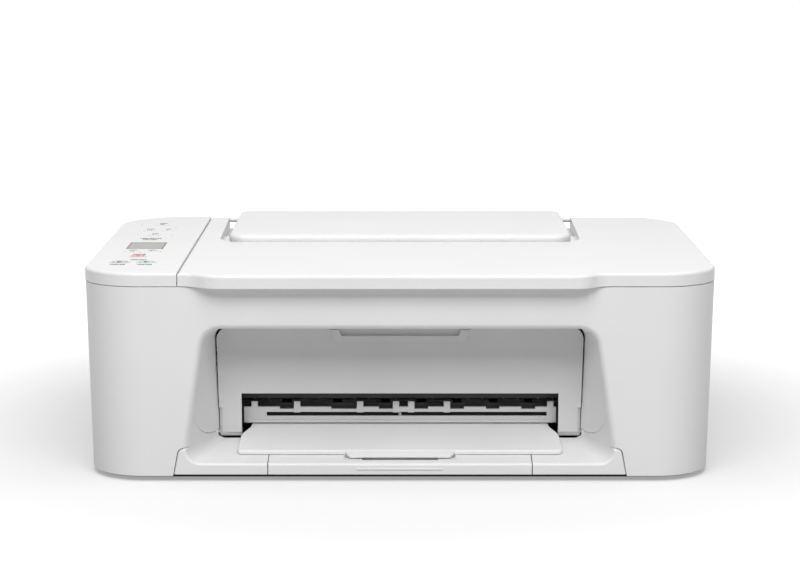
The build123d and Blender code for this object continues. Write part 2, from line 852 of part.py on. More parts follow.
def access_cover():
    """The inner cover that swings forward on its two legs to reach the cartridges."""
    body = prism_along_y(access_outline(), access_y, access_y + access_thickness)
    share = (access_y - front_y) / (recess_back_y - front_y)
    low_half = blend(mouth_bottom_half, recess_bottom_half, share) - access_side_gap
    for side in (-1, 1):
        ends = sorted((side * cutout_half, side * low_half))
        leg = rod_along_x(access_barrel, *ends, access_axis_y, access_axis_z)
        web_top = access_axis_z + 9
        leg += box(*ends, access_y, access_axis_y, access_axis_z, web_top)
        web_back = (access_y + access_thickness, access_axis_y + 1)
        leg -= box(*ends, *web_back, access_axis_z + access_barrel, web_top + 1)
        body += leg
        edge = side * low_half
        reach = leg_ease + 1
        corners = [(edge + side, access_y - 1), (edge - side * reach, access_y - 1), (edge + side, access_y + reach)]
        ease = extrude(make_face(Polyline(*corners, close=True)), leg_ease_height, dir=(0, 0, 1))
        body -= Pos(0, 0, access_axis_z - access_barrel - 1) * ease
        body -= rod_along_x(access_pin + pin_clearance, ends[0] - 1, ends[1] + 1, access_axis_y, access_axis_z)
    tab_face = make_face(Polyline(
        (-access_tab_half, access_top_z - 1), (-access_tab_half + 3, access_tab_low_z),
        (access_tab_half - 3, access_tab_low_z), (access_tab_half, access_top_z - 1), close=True))
    tab_face = fillet([v for v in tab_face.vertices() if v.Y < access_tab_low_z + 1], 3)
    body += prism_along_y(tab_face, access_y - 2.4, access_y)
    scoop = make_face(Polyline(
        (-access_tab_inner, access_top_z + 1), (-access_tab_inner + 2, access_tab_low_z + 4.5),
        (access_tab_inner - 2, access_tab_low_z + 4.5), (access_tab_inner, access_top_z + 1), close=True))
    body -= prism_along_y(scoop, access_y - 3, access_y + 0.8)
    return body


def access_pins():
    """The two hinge pin stubs, as they stand on the chassis side brackets."""
    share = (access_y - front_y) / (recess_back_y - front_y)
    low_half = blend(mouth_bottom_half, recess_bottom_half, share) - access_side_gap
    pins = []
    for side in (-1, 1):
        ends = sorted((side * (cutout_half + 2), side * (low_half + 1.4)))
        pins.append(rod_along_x(access_pin, *ends, access_axis_y, access_axis_z))
    return pins


def recess_floor_at(y):
    """Height of the recess floor at a depth."""
    return blend(mouth_floor_z, recess_floor_z, (y - front_y) / (recess_back_y - front_y))


def tray_plate():
    """The sloping plate of the tray, with its rounded front lip."""
    under = tray_thickness
    profile = [
        (tray_front_y, tray_front_z), (tray_back_y, tray_back_z), (tray_back_y, tray_back_z - under),
        (tray_front_y + lip_depth, tray_front_z - under + 0.6), (tray_front_y + lip_depth - 0.8, lip_low_z + 0.4),
        (tray_front_y, lip_low_z)]
    plate = prism_along_x(profile, -tray_half, tray_half)
    corners = [(tray_half, tray_front_y), tray_knee, tray_neck, (tray_back_half, tray_back_y)]
    left = [(-x, y) for x, y in reversed(corners)]
    outline = make_face(Polyline(*corners, *left, close=True))
    outline = fillet([v for v in outline.vertices() if v.Y < tray_front_y + 1], tray_corner)
    return plate & extrude(outline, tray_back_z + 10)


def tray_grip():
    """The tongue in the middle of the lip that a finger pulls."""
    profile = [
        (tray_front_y + 1, tray_front_z - 0.3), (tray_front_y - 1.5, tray_front_z - 0.9),
        (grip_front_y, grip_front_z), (grip_front_y, grip_front_z - grip_thickness + 0.5),
        (grip_front_y + 0.6, grip_front_z - grip_thickness), (tray_front_y + 1, lip_low_z + 0.2)]
    tongue = prism_along_x(profile, -grip_root_half, grip_root_half)
    corners = [(grip_root_half, tray_front_y + 2), (grip_root_half, tray_front_y), (grip_half, grip_front_y)]
    left = [(-x, y) for x, y in reversed(corners)]
    outline = make_face(Polyline(*corners, *left, close=True))
    return tongue & extrude(outline, tray_back_z)


def output_tray():
    """The output tray: a sloping plate on two long runners, with a grip tongue on its lip."""
    plate = tray_plate()
    top = plate.edges().filter_by(Axis.X).group_by(Axis.Y)[0].sort_by(Axis.Z)[-1]
    body = fillet(top, 1.6) + tray_grip()
    for side in (-1, 1):
        ends = sorted((side * runner_inner_x, side * (runner_inner_x + runner_width)))
        body += box(*ends, runner_front_y, runner_back_y, runner_bottom_z, runner_top_z)
        rise = [
            (runner_front_y, runner_top_z - 1), (tray_back_y, runner_top_z - 1), (tray_back_y, tray_back_z - 1),
            (runner_front_y, tray_front_z)]
        body += prism_along_x(rise, *ends)
        skirt_x = extension_half + part_gap
        side_x = sorted((side * skirt_x, side * (skirt_x + skirt_thickness)))
        reach = sorted((side * skirt_x, side * (runner_inner_x + 1)))
        low_x = sorted((side * (extension_half - groove_depth + part_gap), side * (extension_half + 1)))
        body += box(*side_x, runner_front_y, tray_back_y, skirt_bottom_z, runner_bottom_z + 1)
        body += box(*reach, runner_front_y, tray_back_y, runner_bottom_z + 0.4, runner_top_z)
        foot_top = skirt_bottom_z + groove_height - 2 * part_gap
        body += box(*low_x, runner_front_y, tray_back_y, skirt_bottom_z, foot_top)
    return body


def output_extension():
    """The drawer under the tray whose front closes the lower front between the seams."""
    half = drawer_half - drawer_gap
    front = lower_front_skin() & box(-half, half, front_y - 1, front_y + drawer_depth, 0, mouth_top_z)
    body = front + box(-half + 1, half - 1, front_y + 2, front_y + 9, extension_bottom_z, extension_top_z)
    plate_z = (extension_bottom_z, extension_top_z)
    body += box(-extension_half, extension_half, front_y + 8, extension_back_y, *plate_z)
    for place in (-0.6, 0.6):
        x = place * extension_half
        post_y = (front_y + 8, front_y + drawer_depth - 1)
        body += box(x - 1, x + 1, *post_y, extension_top_z - 1, recess_floor_at(post_y[0]) - 0.5)
    groove_z0 = skirt_bottom_z - part_gap
    for side in (-1, 1):
        ends = sorted((side * (extension_half - groove_depth), side * (extension_half + 1)))
        body -= box(*ends, front_y + 9.5, extension_back_y + 1, groove_z0, groove_z0 + groove_height)
    inside = extension_half - 8
    body -= box(-inside, inside, front_y + 18, extension_back_y - 6, 0, extension_top_z - 2)
    slot_y = (grip_front_y - grip_slot_depth, tray_front_y + 1)
    slot_z = recess_floor_at(grip_front_y)
    body -= box(-grip_root_half - part_gap, grip_root_half + part_gap, *slot_y, slot_z - 0.6, slot_z + 8)
    body -= box(-grip_slot_half, grip_slot_half, *slot_y, extension_top_z - 2, slot_z + 8)
    rib = box(-rib_half, rib_half, front_y - rib_proud, front_y + 1, *rib_z)
    return body + rib


def glass_box(grow=0.0, z0=0.0, z1=0.0):
    """The space of the glass, grown sideways by a gap."""
    x0, x1 = window_x[0] - glass_margin - grow, window_x[1] + glass_margin + grow
    y0, y1 = window_y[0] - 3 - grow, window_y[1] + 3 + grow
    return box(x0, x1, y0, y1, z0, z1)


def platen_glass():
    """The scanner glass, seated in a rebate of the scanner housing."""
    return glass_box(0, glass_top_z - glass_thickness, glass_top_z)


def scanner_housing():
    """The flat tub under the glass that the scan bar runs in."""
    x0, x1 = scanner_x
    y0, y1 = scanner_y
    glass_low = glass_top_z - glass_thickness
    body = box(x0, x1, y0, y1, scanner_bottom_z, glass_top_z)
    corner = [e for e in body.edges().filter_by(Axis.Z) if e.center().X > 0 and e.center().Y < 0]
    body = fillet(corner, scanner_corner)
    left = window_x[0] - glass_margin + 2
    rib_x = window_x[1] + glass_margin - 3
    floor_z = scanner_bottom_z + 2
    bay = box(left, rib_x, y0 + scanner_wall, y1 - scanner_wall, floor_z, glass_low + 1)
    right_y0 = y0 + scanner_corner + 6
    spare = box(rib_x + cross_rib, x1 - scanner_wall, right_y0, y1 - scanner_wall, floor_z, glass_top_z + 1)
    body -= bay
    body -= spare
    return body - glass_box(0.2, glass_low, glass_top_z + 1)


def platen_frame():
    """The frame around the glass, flush with the rim of the outer case."""
    outline = plan(half_at(case_top_z), case_wall + frame_gap)
    frame = Pos(0, 0, glass_top_z) * extrude(outline, case_top_z - glass_top_z)
    frame = frame & box(panel_seam_x + 1, 250, -160, scanner_y[1], 0, 200)
    return frame - box(*window_x, *window_y, glass_top_z - 1, case_top_z + 1)


def scan_bar():
    """The scan bar, with the sleeve that slides on its rod."""
    x0 = scan_bar_start_x
    x1 = x0 + scan_bar_width
    top = glass_top_z - glass_thickness - 0.3
    y0, y1 = scanner_y[0] + scanner_wall + 1, scanner_y[1] - scanner_wall - 1
    body = box(x0, x1, y0, y1, top - scan_bar_height, top)
    low = scan_rod_z - scan_rod_radius - 0.8
    body += box(x0, x1, scan_rod_y - 8, scan_rod_y + 8, low, top - 1)
    body -= rod_along_x(scan_rod_radius + pin_clearance, x0 - 1, x1 + 1, scan_rod_y, scan_rod_z)
    return body


def scan_rod():
    """The steel rod that guides the scan bar from wall to rib."""
    left = window_x[0] - glass_margin + 2
    return rod_along_x(scan_rod_radius, left, window_x[1] + glass_margin - 3, scan_rod_y, scan_rod_z)


def rear_deck():
    """The fixed deck behind the glass, open over the paper bed, with the cover's knuckles."""
    outline = plan(half_at(case_top_z), case_wall + frame_gap)
    deck = Pos(0, 0, glass_top_z) * extrude(outline, case_top_z - glass_top_z)
    deck = deck & box(panel_seam_x + 1, 250, scanner_y[1], 170, 0, 200)
    deck -= box(-rear_dip_half, rear_dip_half, deck_opening_front, 170, 100, 200)
    for x in (left_knuckle_x, right_knuckle_x):
        half = knuckle_width / 2
        y0, y1 = cover_axis_y - knuckle_radius, cover_axis_y + knuckle_radius
        deck += box(x - half, x + half, y0, y1, glass_top_z, cover_axis_z)
        deck += rod_along_x(knuckle_radius, x - half, x + half, cover_axis_y, cover_axis_z)
        deck += rod_along_x(cover_pin, x - half - 1.9, x + half + 1.9, cover_axis_y, cover_axis_z)
    return deck


def rear_tray():
    """The sloping paper bed with its side walls, standing on two ribs."""
    bed = bed_place * box(-bed_half, bed_half, 0, bed_length, -bed_thickness, 0)
    wall_top = [(bed_head[0], glass_top_z), (bed_wall_top_y, glass_top_z)]
    wall = [bed_foot, bed_head, *wall_top, bed_wall_knee, bed_wall_front]
    rise = (bed_head[1] - bed_foot[1]) / (bed_head[0] - bed_foot[0])
    floor_top = floor_bottom_z + floor_thickness
    rib = [(y, floor_top) for y in bed_rib_y]
    rib += [(y, bed_foot[1] + rise * (y - bed_foot[0]) - bed_thickness) for y in reversed(bed_rib_y)]
    for side in (-1, 1):
        ends = sorted((side * bed_half, side * (bed_half + bed_wall)))
        bed += prism_along_x(wall, *ends)
        bed += bed_place * box(*ends, 0, bed_length, -bed_thickness, 0.1)
        ends = sorted((side * (bed_rib_x - bed_rib_thickness / 2), side * (bed_rib_x + bed_rib_thickness / 2)))
        bed += prism_along_x(rib, *ends)
    near, far = guide_rest_x + 3, guide_rest_x - guide_travel - 3
    for side, start in ((-1, rack_low), (1, rack_high)):
        ends = sorted((side * near, side * far))
        slot = box(*ends, start - bed_gap, start + rack_width + bed_gap, -bed_thickness - 0.1, 1)
        bed -= bed_place * slot
    axle_s = (rack_low + rack_width + rack_high) / 2
    axle = Pos(0, axle_s, -bed_thickness - rack_depth / 2 - 0.4) * Cylinder(axle_radius, rack_depth + 1.2)
    return bed + bed_place * axle


def paper_guide(side):
    """One sliding paper guide with its foot through the bed and its rack behind it."""
    inner = guide_rest_x - guide_thickness
    ends = sorted((side * guide_rest_x, side * inner))
    body = box(*ends, *guide_span, bed_gap, guide_height)
    start = rack_low if side < 0 else rack_high
    width_s = (start, start + rack_width)
    rack_top = -bed_thickness - bed_gap
    body += box(*ends, *width_s, rack_top - rack_depth, bed_gap + 1)
    rack = sorted((side * guide_rest_x, -side * rack_reach))
    body += box(*rack, *width_s, rack_top - rack_depth, rack_top)
    return bed_place * body


def guide_pinion():
    """The pinion that makes the two paper guides move equally."""
    axle_s = (rack_low + rack_width + rack_high) / 2
    radius = (rack_high - rack_low - rack_width) / 2 - 0.15
    rack_top = -bed_thickness - bed_gap
    wheel = gear_wheel(radius, rack_depth, guide_pinion_teeth)
    wheel -= Cylinder(axle_radius + pin_clearance, rack_depth + 1)
    return bed_place * Pos(0, axle_s, rack_top - rack_depth / 2) * wheel


def gear_wheel(radius, thick, teeth):
    """A toothed wheel about Z, with tooth tips at the given radius."""
    depth = min(1.2, radius * 0.12)
    step = 2 * math.pi / teeth
    points = []
    for tooth in range(teeth):
        for share, r in ((0.0, radius - depth), (0.28, radius - depth), (0.42, radius), (0.86, radius)):
            angle = (tooth + share) * step
            points.append((r * math.cos(angle), r * math.sin(angle)))
    face = make_face(Polyline(*points, close=True))
    return Pos(0, 0, -thick / 2) * extrude(face, thick)


def gear_on_shaft(radius, teeth, y, z):
    """A drive gear outside the left side plate."""
    return Pos(gear_x, y, z) * Rot(0, 90, 0) * gear_wheel(radius - mesh_gap, gear_width, teeth)


def drive_pulley(y):
    """A belt pulley beside the gears, with a flange at its outer side."""
    half = drive_belt_width / 2 + 0.2
    wheel = rod_along_x(drive_pulley_radius, belt_x - half, gear_x - gear_width / 2, y, roller_z)
    flange_x = belt_x - half - pulley_flange_width
    return wheel + rod_along_x(drive_pulley_radius + pulley_flange, flange_x, belt_x - half, y, roller_z)


def feed_roller():
    """The line feed roller with its gear and belt pulley."""
    body = rod_along_x(shaft_radius, gear_x, shaft_right_x, feed_y, roller_z)
    body += rod_along_x(roller_radius, -sheet_half - 4, sheet_half + 4, feed_y, roller_z)
    body += gear_on_shaft(drive_gear_radius, feed_teeth, feed_y, roller_z)
    return body + drive_pulley(feed_y)


def exit_roller():
    """The exit roller, with eight rubber sleeves on one shaft."""
    body = rod_along_x(shaft_radius, belt_x, shaft_right_x, exit_y, roller_z)
    for x, wide in sleeves:
        body += rod_along_x(roller_radius, x - wide / 2, x + wide / 2, exit_y, roller_z)
    return body + drive_pulley(exit_y)


def drive_belt():
    """The belt from the feed roller to the exit roller."""
    def loop(radius):
        reach = (belt_x - drive_belt_width / 2, belt_x + drive_belt_width / 2)
        side_to_side = box(*reach, exit_y, feed_y, roller_z - radius, roller_z + radius)
        ends = [rod_along_x(radius, *reach, y, roller_z) for y in (exit_y, feed_y)]
        return side_to_side + ends[0] + ends[1]
    inner = drive_pulley_radius + belt_fit
    return loop(inner + drive_belt_thickness) - loop(inner)


def pickup_roller():
    """The pickup roller that takes the top sheet off the stack."""
    body = rod_along_x(shaft_radius, gear_x, shaft_right_x, pickup_y, pickup_z)
    body += rod_along_x(pickup_radius, -pickup_half, pickup_half, pickup_y, pickup_z)
    return body + gear_on_shaft(pickup_gear_radius, pickup_teeth, pickup_y, pickup_z)


def feed_motor():
    """The paper feed motor inside the left side plate."""
    x0 = left_plate_x
    can = rod_along_x(feed_motor_radius, x0, x0 + feed_motor_length, pinion_y, pinion_z)
    can = fillet(can.edges().filter_by(GeomType.CIRCLE), 1)
    return can - rod_along_x(motor_shaft + pin_clearance, x0 - 1, x0 + 6, pinion_y, pinion_z)


def feed_pinion():
    """The motor pinion with its shaft."""
    body = gear_on_shaft(pinion_radius, pinion_teeth, pinion_y, pinion_z)
    return body + rod_along_x(motor_shaft, gear_x, left_plate_x + 5, pinion_y, pinion_z)


def pinch_rollers():
    """The row of pinch rollers on their common shaft."""
    body = rod_along_x(pinch_shaft, -sheet_half - 3, sheet_half + 3, feed_y, pinch_z)
    for place in range(-5, 6, 2):
        x = place * 20
        body += rod_along_x(pinch_radius, x - 8, x + 8, feed_y, pinch_z)
    return body


def pinch_holder():
    """The bar behind the carriage that holds the pinch rollers down."""
    y0 = back_plate_y + plate_thickness
    low = pinch_z + pinch_radius + 0.6
    half = sheet_half + 4
    body = box(-half, half, y0, feed_y + 8, low, low + 4)
    for side in (-1, 1):
        ends = sorted((side * (sheet_half + 1), side * half))
        body += box(*ends, feed_y - 4, feed_y + 4, pinch_z - 2.5, low + 1)
        ends = (ends[0] - 1, ends[1] + 1)
        body -= rod_along_x(pinch_shaft + pin_clearance, *ends, feed_y, pinch_z)
    return body


def star_wheels():
    """The row of thin star wheels above the exit roller."""
    body = rod_along_x(star_shaft, -sheet_half - 3, sheet_half + 3, exit_y, star_z)
    for x, _ in sleeves:
        for offset in (-5, 5):
            wheel = gear_wheel(star_radius, 0.8, 18)
            body += Pos(x + offset, exit_y, star_z) * Rot(0, 90, 0) * wheel
    return body


def spur_holder():
    """The black bar over the exit that carries the star wheels."""
    half = sheet_half + 4
    low = star_z + star_radius + 0.5
    body = box(-half, half, exit_y - 9, exit_y + 8, low, low + 4)
    body += box(-half, half, exit_y - 9, exit_y - 7.4, holder_lip_z, low + 1)
    for side in (-1, 1):
        ends = sorted((side * (sheet_half + 1), side * half))
        body += box(*ends, exit_y - 9, exit_y + 4, star_z - 2.2, low + 1)
        ends = (ends[0] - 1, ends[1] + 1)
        body -= rod_along_x(star_shaft + pin_clearance, *ends, exit_y, star_z)
        reach = (left_plate_x, -half) if side < 0 else (half, right_plate_x)
        body += box(*reach, exit_y - 9, exit_y - 5, low, low + 4)
    return body


def platen():
    """The black printing bed with its ribs, hollow over the exit and feed rollers."""
    half = sheet_half + 3.5
    body = box(-half, half, platen_front_y, platen_back_y, platen_low_z, platen_low_z + 2)
    body += box(-half, half, platen_front_y, platen_front_y + 1.5, platen_low_z, platen_top_z - 0.5)
    top_y = (exit_y + roller_radius + 2, feed_y - roller_radius - 1)
    body += box(-half, half, *top_y, platen_top_z - 4, platen_top_z - 2)
    body += box(-half, half, top_y[0], top_y[0] + 2, platen_low_z, platen_top_z - 3)
    for rib in range(platen_ribs):
        x = blend(-100, 100, rib / (platen_ribs - 1))
        body += box(x - 0.8, x + 0.8, *top_y, platen_top_z - 3, platen_top_z)
    floor_top = floor_bottom_z + floor_thickness
    for side in (-1, 1):
        ends = sorted((side * half, side * (half - 2)))
        wall = box(*ends, platen_front_y, platen_back_y, platen_low_z, platen_top_z - 2)
        room_radius = shaft_radius + shaft_room
        reach = (ends[0] - 1, ends[1] + 1)
        room = rod_along_x(room_radius, *reach, exit_y, roller_z)
        room += box(*reach, exit_y - room_radius, exit_y + room_radius, roller_z, platen_top_z)
        slot_z = roller_z - roller_radius
        body += wall - room - box(*reach, feed_y - 8, feed_y + 9, slot_z, platen_top_z)
        legs = sorted(side * x for x in platen_leg_x)
        body += box(*legs, -60, 10, floor_top, platen_low_z + 1)
    return body


def exit_guide():
    """The light guide in front of the exit roller, with its upright tabs and notches."""
    half = cutout_half - 1
    y0, y1 = exit_guide_y
    z0, z1 = exit_guide_z
    body = box(-half, half, y0, y1, z0, z1)
    body -= box(*exit_guide_slot_x, y0 - 1, y1 + 1, *exit_guide_slot_z)
    for left, right in exit_notches:
        body -= box(left, right, y0 - 1, y1 + 1, z1 - 1.6, z1 + 1)
    for x in exit_tabs:
        body += box(x - exit_tab_width / 2, x + exit_tab_width / 2, y0, y1, z1 - 4, exit_tab_top)
    for x in (-107, 0, 107):
        body += box(x - 1, x + 1, y1 - 0.5, platen_front_y, z0, platen_top_z - 6)
    ledge = box(-half + 2, half - 2, y0 - 0.8, y0 + 1, z0, z0 + 2.0)
    return body + ledge


def chassis():
    """The sheet steel frame: two side plates, the back plate with its flange, and feet."""
    floor_z = chassis_bottom_z
    back_y1 = back_plate_y + plate_thickness
    body = box(left_plate_x, right_plate_x, back_plate_y, back_y1, back_plate_low_z, chassis_top_z)
    flange_y = (carriage_back_y, back_plate_y + 0.5)
    body += box(left_plate_x, right_plate_x, *flange_y, chassis_top_z - plate_thickness, chassis_top_z)
    for x, inward in ((left_plate_x, 1), (right_plate_x, -1)):
        outer = x - inward * plate_thickness
        ends = sorted((x, outer))
        side = [
            (chassis_front_y, floor_z), (chassis_rear_y, floor_z), (chassis_rear_y, side_rear_z),
            (chassis_rear_y - side_rear_slope, chassis_top_z),
            (chassis_front_y + side_front_slope, chassis_top_z), (chassis_front_y, side_front_z)]
        body += prism_along_x(side, *ends)
        foot = sorted((outer, x + inward * foot_lip))
        for _, y in screw_places[:2]:
            body += box(*foot, y - foot_half, y + foot_half, floor_z, floor_z + plate_thickness)
    for y, z in ((feed_y, roller_z), (exit_y, roller_z), (pickup_y, pickup_z)):
        body -= rod_along_x(shaft_radius + pin_clearance, left_plate_x - 3, right_plate_x + 3, y, z)
    body -= rod_along_x(motor_shaft + pin_clearance, left_plate_x - 3, left_plate_x + 3, pinion_y, pinion_z)
    for x, y in screw_places:
        body -= rod_along_z(screw_radius, floor_z - 1, floor_z + 3, x, y)
    bore = motor_shaft + pin_clearance
    body -= rod_along_y(bore, back_plate_y - 1, back_plate_y + 2, motor_pulley_x, pulley_z)
    axle_y = belt_y[0] - idler_axle_reach
    body += rod_along_y(idler_axle_radius, axle_y, back_plate_y + 0.5, idler_pulley_x, pulley_z)
    return body


def carriage_rod():
    """The steel rod between the side plates that the carriage slides on."""
    return rod_along_x(rod_radius, left_plate_x, right_plate_x, rod_y, rod_z)


def bay_x(bay):
    """Left and right limits of one of the two cartridge bays."""
    middle = carriage_wall / 2
    if bay < 0:
        return (carriage_home_x - carriage_half + carriage_wall, carriage_home_x - middle)
    return (carriage_home_x + middle, carriage_home_x + carriage_half - carriage_wall)


def carriage():
    """The carriage, with two cartridge bays, a bearing on the rod and a clamp on the belt."""
    left, right = carriage_home_x - carriage_half, carriage_home_x + carriage_half
    body = box(left, right, carriage_front_y, carriage_back_y, carriage_bottom_z, carriage_wall_top)
    floor_z = carriage_bottom_z + carriage_wall
    for bay in (-1, 1):
        x0, x1 = bay_x(bay)
        body -= box(x0, x1, carriage_front_y + carriage_wall, carriage_back_y - carriage_wall, floor_z, 120)
    body -= box(left + 3, right - 3, carriage_front_y - 1, carriage_front_y + 3, floor_z + 12, 120)
    for x in (left + carriage_wall / 2, carriage_home_x, right - carriage_wall / 2):
        half = carriage_wall / 2
        cheek = box(x - half, x + half, lock_axis_y - 6, carriage_back_y, carriage_wall_top - 1, cheek_top)
        body += cheek
    body += rod_along_x(lock_pin, left + 1, right - 1, lock_axis_y, lock_z)
    bearing_x = (carriage_home_x - bearing_half, carriage_home_x + bearing_half)
    body += box(*bearing_x, carriage_back_y - 1, rod_y + 6, rod_z - bearing_height, rod_z + bearing_height)
    body -= rod_along_x(rod_radius + pin_clearance, left - 1, right + 1, rod_y, rod_z)
    run_top = pulley_z - pulley_radius
    clamp_x = (carriage_home_x - clamp_half, carriage_home_x + clamp_half)
    clamp = box(*clamp_x, carriage_back_y - 1, belt_y[1] + 1, run_top - 5, run_top + 4)
    slot_z = (run_top - belt_thickness - part_gap, run_top + part_gap)
    clamp -= box(clamp_x[0] - 1, clamp_x[1] + 1, belt_y[0] - part_gap, belt_y[1] + part_gap, *slot_z)
    return body + clamp


def cartridge(bay):
    """One ink cartridge, standing in its bay."""
    x0, x1 = bay_x(bay)
    y0 = carriage_front_y + carriage_wall + cartridge_gap
    y1 = carriage_back_y - carriage_wall - cartridge_gap - 2
    z0 = carriage_bottom_z + carriage_wall
    x0, x1 = x0 + cartridge_gap, x1 - cartridge_gap
    body = box(x0, x1, y0, y1, z0, z0 + cartridge_height)
    body = fillet(body.edges().filter_by(Axis.Z), 1.5)
    body -= box(x0 - 1, x1 + 1, y0 - 1, y0 + cradle_step_y, z0 - 1, z0 + cradle_step_z)
    grip = box((x0 + x1) / 2 - 8, (x0 + x1) / 2 + 8, y0 - 0.1, y0 + 1, z0 + 30, z0 + 38)
    return body - grip


def cartridge_lock(bay):
    """The lever that presses one cartridge into its bay."""
    x0, x1 = bay_x(bay)
    x0, x1 = x0 + 0.4, x1 - 0.4
    low = carriage_bottom_z + carriage_wall + cartridge_height + 0.4
    body = rod_along_x(lock_barrel, x0, x1, lock_axis_y, lock_z)
    body += box(x0, x1, carriage_front_y + 1, lock_axis_y, low, low + lock_thickness)
    body += box(x0 + 6, x1 - 6, carriage_front_y - 2, carriage_front_y + 2, low, low + lock_thickness)
    body += box(x0, x1, lock_axis_y - 5, lock_axis_y, low, lock_z)
    return body - rod_along_x(lock_pin + pin_clearance, x0 - 1, x1 + 1, lock_axis_y, lock_z)


def carriage_belt():
    """The toothed belt loop behind the carriage."""
    def loop(radius):
        run = box(motor_pulley_x, idler_pulley_x, *belt_y, pulley_z - radius, pulley_z + radius)
        ends = [rod_along_y(radius, *belt_y, x, pulley_z) for x in (motor_pulley_x, idler_pulley_x)]
        return run + ends[0] + ends[1]
    return loop(pulley_radius + belt_thickness) - loop(pulley_radius)


def pulley_wheel(x):
    """A belt pulley about Y with a flange at each side."""
    y0, y1 = belt_y
    near, far = y0 - belt_side_gap, y1 + belt_side_gap
    flange = pulley_radius + belt_flange
    body = rod_along_y(pulley_radius - belt_fit, near, far, x, pulley_z)
    body += rod_along_y(flange, near - belt_flange_width, near, x, pulley_z)
    return body + rod_along_y(flange, far, far + belt_flange_width, x, pulley_z)


def motor_pulley():
    """The driven belt pulley with the motor shaft."""
    shaft_end = back_plate_y + plate_thickness + 6
    shaft = rod_along_y(motor_shaft, belt_y[0], shaft_end, motor_pulley_x, pulley_z)
    return pulley_wheel(motor_pulley_x) + shaft


def idler_pulley():
    """The free belt pulley at the other end."""
    bore = idler_axle_radius + pin_clearance
    bore_y = (belt_y[0] - 2, belt_y[1] + 2)
    return pulley_wheel(idler_pulley_x) - rod_along_y(bore, *bore_y, idler_pulley_x, pulley_z)


def carriage_motor():
    """The carriage motor behind the back plate."""
    y0 = back_plate_y + plate_thickness
    can = rod_along_y(feed_motor_radius, y0, y0 + carriage_motor_length, motor_pulley_x, pulley_z)
    can = fillet(can.edges().filter_by(GeomType.CIRCLE), 1)
    return can - rod_along_y(motor_shaft + pin_clearance, y0 - 1, y0 + 7, motor_pulley_x, pulley_z)


def purge_unit():
    """The service station that caps and wipes the cartridges at the home position."""
    floor_top = floor_bottom_z + floor_thickness
    left, right = carriage_home_x - station_half, carriage_home_x + station_half
    body = box(left, right, *station_y, floor_top, station_top_z)
    inner_y = (station_y[0] + station_wall, station_y[1] - station_wall)
    body -= box(left + station_wall, right - station_wall, *inner_y, station_floor_z, station_top_z + 1)
    for bay in (-1, 1):
        x0, x1 = bay_x(bay)
        middle = (x0 + x1) / 2
        rise = (station_floor_z - 2, carriage_bottom_z - part_gap)
        cap = box(middle - cap_half, middle + cap_half, *cap_y, *rise)
        hollow = cap_half - cap_wall
        hollow_y = (cap_y[0] + cap_wall, cap_y[1] - cap_wall)
        cap -= box(middle - hollow, middle + hollow, *hollow_y, station_top_z, rise[1] + 1)
        body += cap
        body += box(middle - cap_half, middle + cap_half, *wiper_y, *rise)
    return body


def logic_board():
    """The logic board standing behind the paper bed, with its data port in the back wall."""
    floor_top = floor_bottom_z + floor_thickness
    board = box(*board_x, board_y, board_y + board_thickness, floor_top, board_top_z)
    for x, z, wide, high in chips:
        board += box(x, x + wide, board_y - chip_height, board_y, z, z + high)
    half_w, half_h = usb_width / 2, usb_height / 2
    x0, x1, z0, z1 = usb_x - half_w, usb_x + half_w, usb_z - half_h, usb_z + half_h
    port = box(x0, x1, board_y + board_thickness, port_back_y, z0, z1)
    port -= box(x0 + port_wall, x1 - port_wall, board_y + 4, back_y + 1, z0 + port_wall, z1 - port_wall)
    half_t, half_u = port_tongue[0] / 2, port_tongue[1] / 2
    port += box(usb_x - half_t, usb_x + half_t, board_y + 4, back_y - 6, usb_z - half_u, usb_z + half_u)
    return board + port


def power_supply():
    """The power supply block in the rear left corner."""
    floor_top = floor_bottom_z + floor_thickness
    body = box(*supply_x, *supply_y, floor_top, supply_top_z)
    body = fillet(body.edges().filter_by(Axis.Z), supply_round)
    for slot in range(vent_slots):
        x = supply_x[0] + 10 + slot * 2 * vent_width
        vent_z = (supply_top_z - vent_depth, supply_top_z + 1)
        body -= box(x, x + vent_width, supply_y[0] + 8, supply_y[1] - 8, *vent_z)
    return body


def power_inlet():
    """The two-pin mains inlet in the back wall."""
    half_w, half_h = inlet_width / 2, inlet_height / 2
    x0, x1, z0, z1 = inlet_x - half_w, inlet_x + half_w, inlet_z - half_h, inlet_z + half_h
    body = box(x0, x1, supply_y[1], port_back_y, z0, z1)
    bottom = back_y - socket_depth
    lobe_x = (inlet_x - socket_lobe, inlet_x + socket_lobe)
    body -= box(*lobe_x, bottom, back_y + 1, inlet_z - socket_web, inlet_z + socket_web)
    for x in lobe_x:
        body -= rod_along_y(socket_lobe, bottom, back_y + 1, x, inlet_z)
    for x in lobe_x:
        body += rod_along_y(socket_pin, bottom - 1, back_y - 4, x, inlet_z)
    return body


def hinged_base_front(side):
    """A lower front piece with the boss and pin that one leg of the access cover turns on."""
    share = (access_y - front_y) / (recess_back_y - front_y)
    low_half = blend(mouth_bottom_half, recess_bottom_half, share)
    body = side_base_front(side)
    ends = sorted((side * (low_half + 0.2), side * (low_half + 2.0)))
    body += box(*ends, recess_back_y - 4, access_axis_y + 3.4, access_axis_z - 3.4, access_axis_z + 1.9)
    pin = access_pins()[0 if side < 0 else 1]
    return body + pin


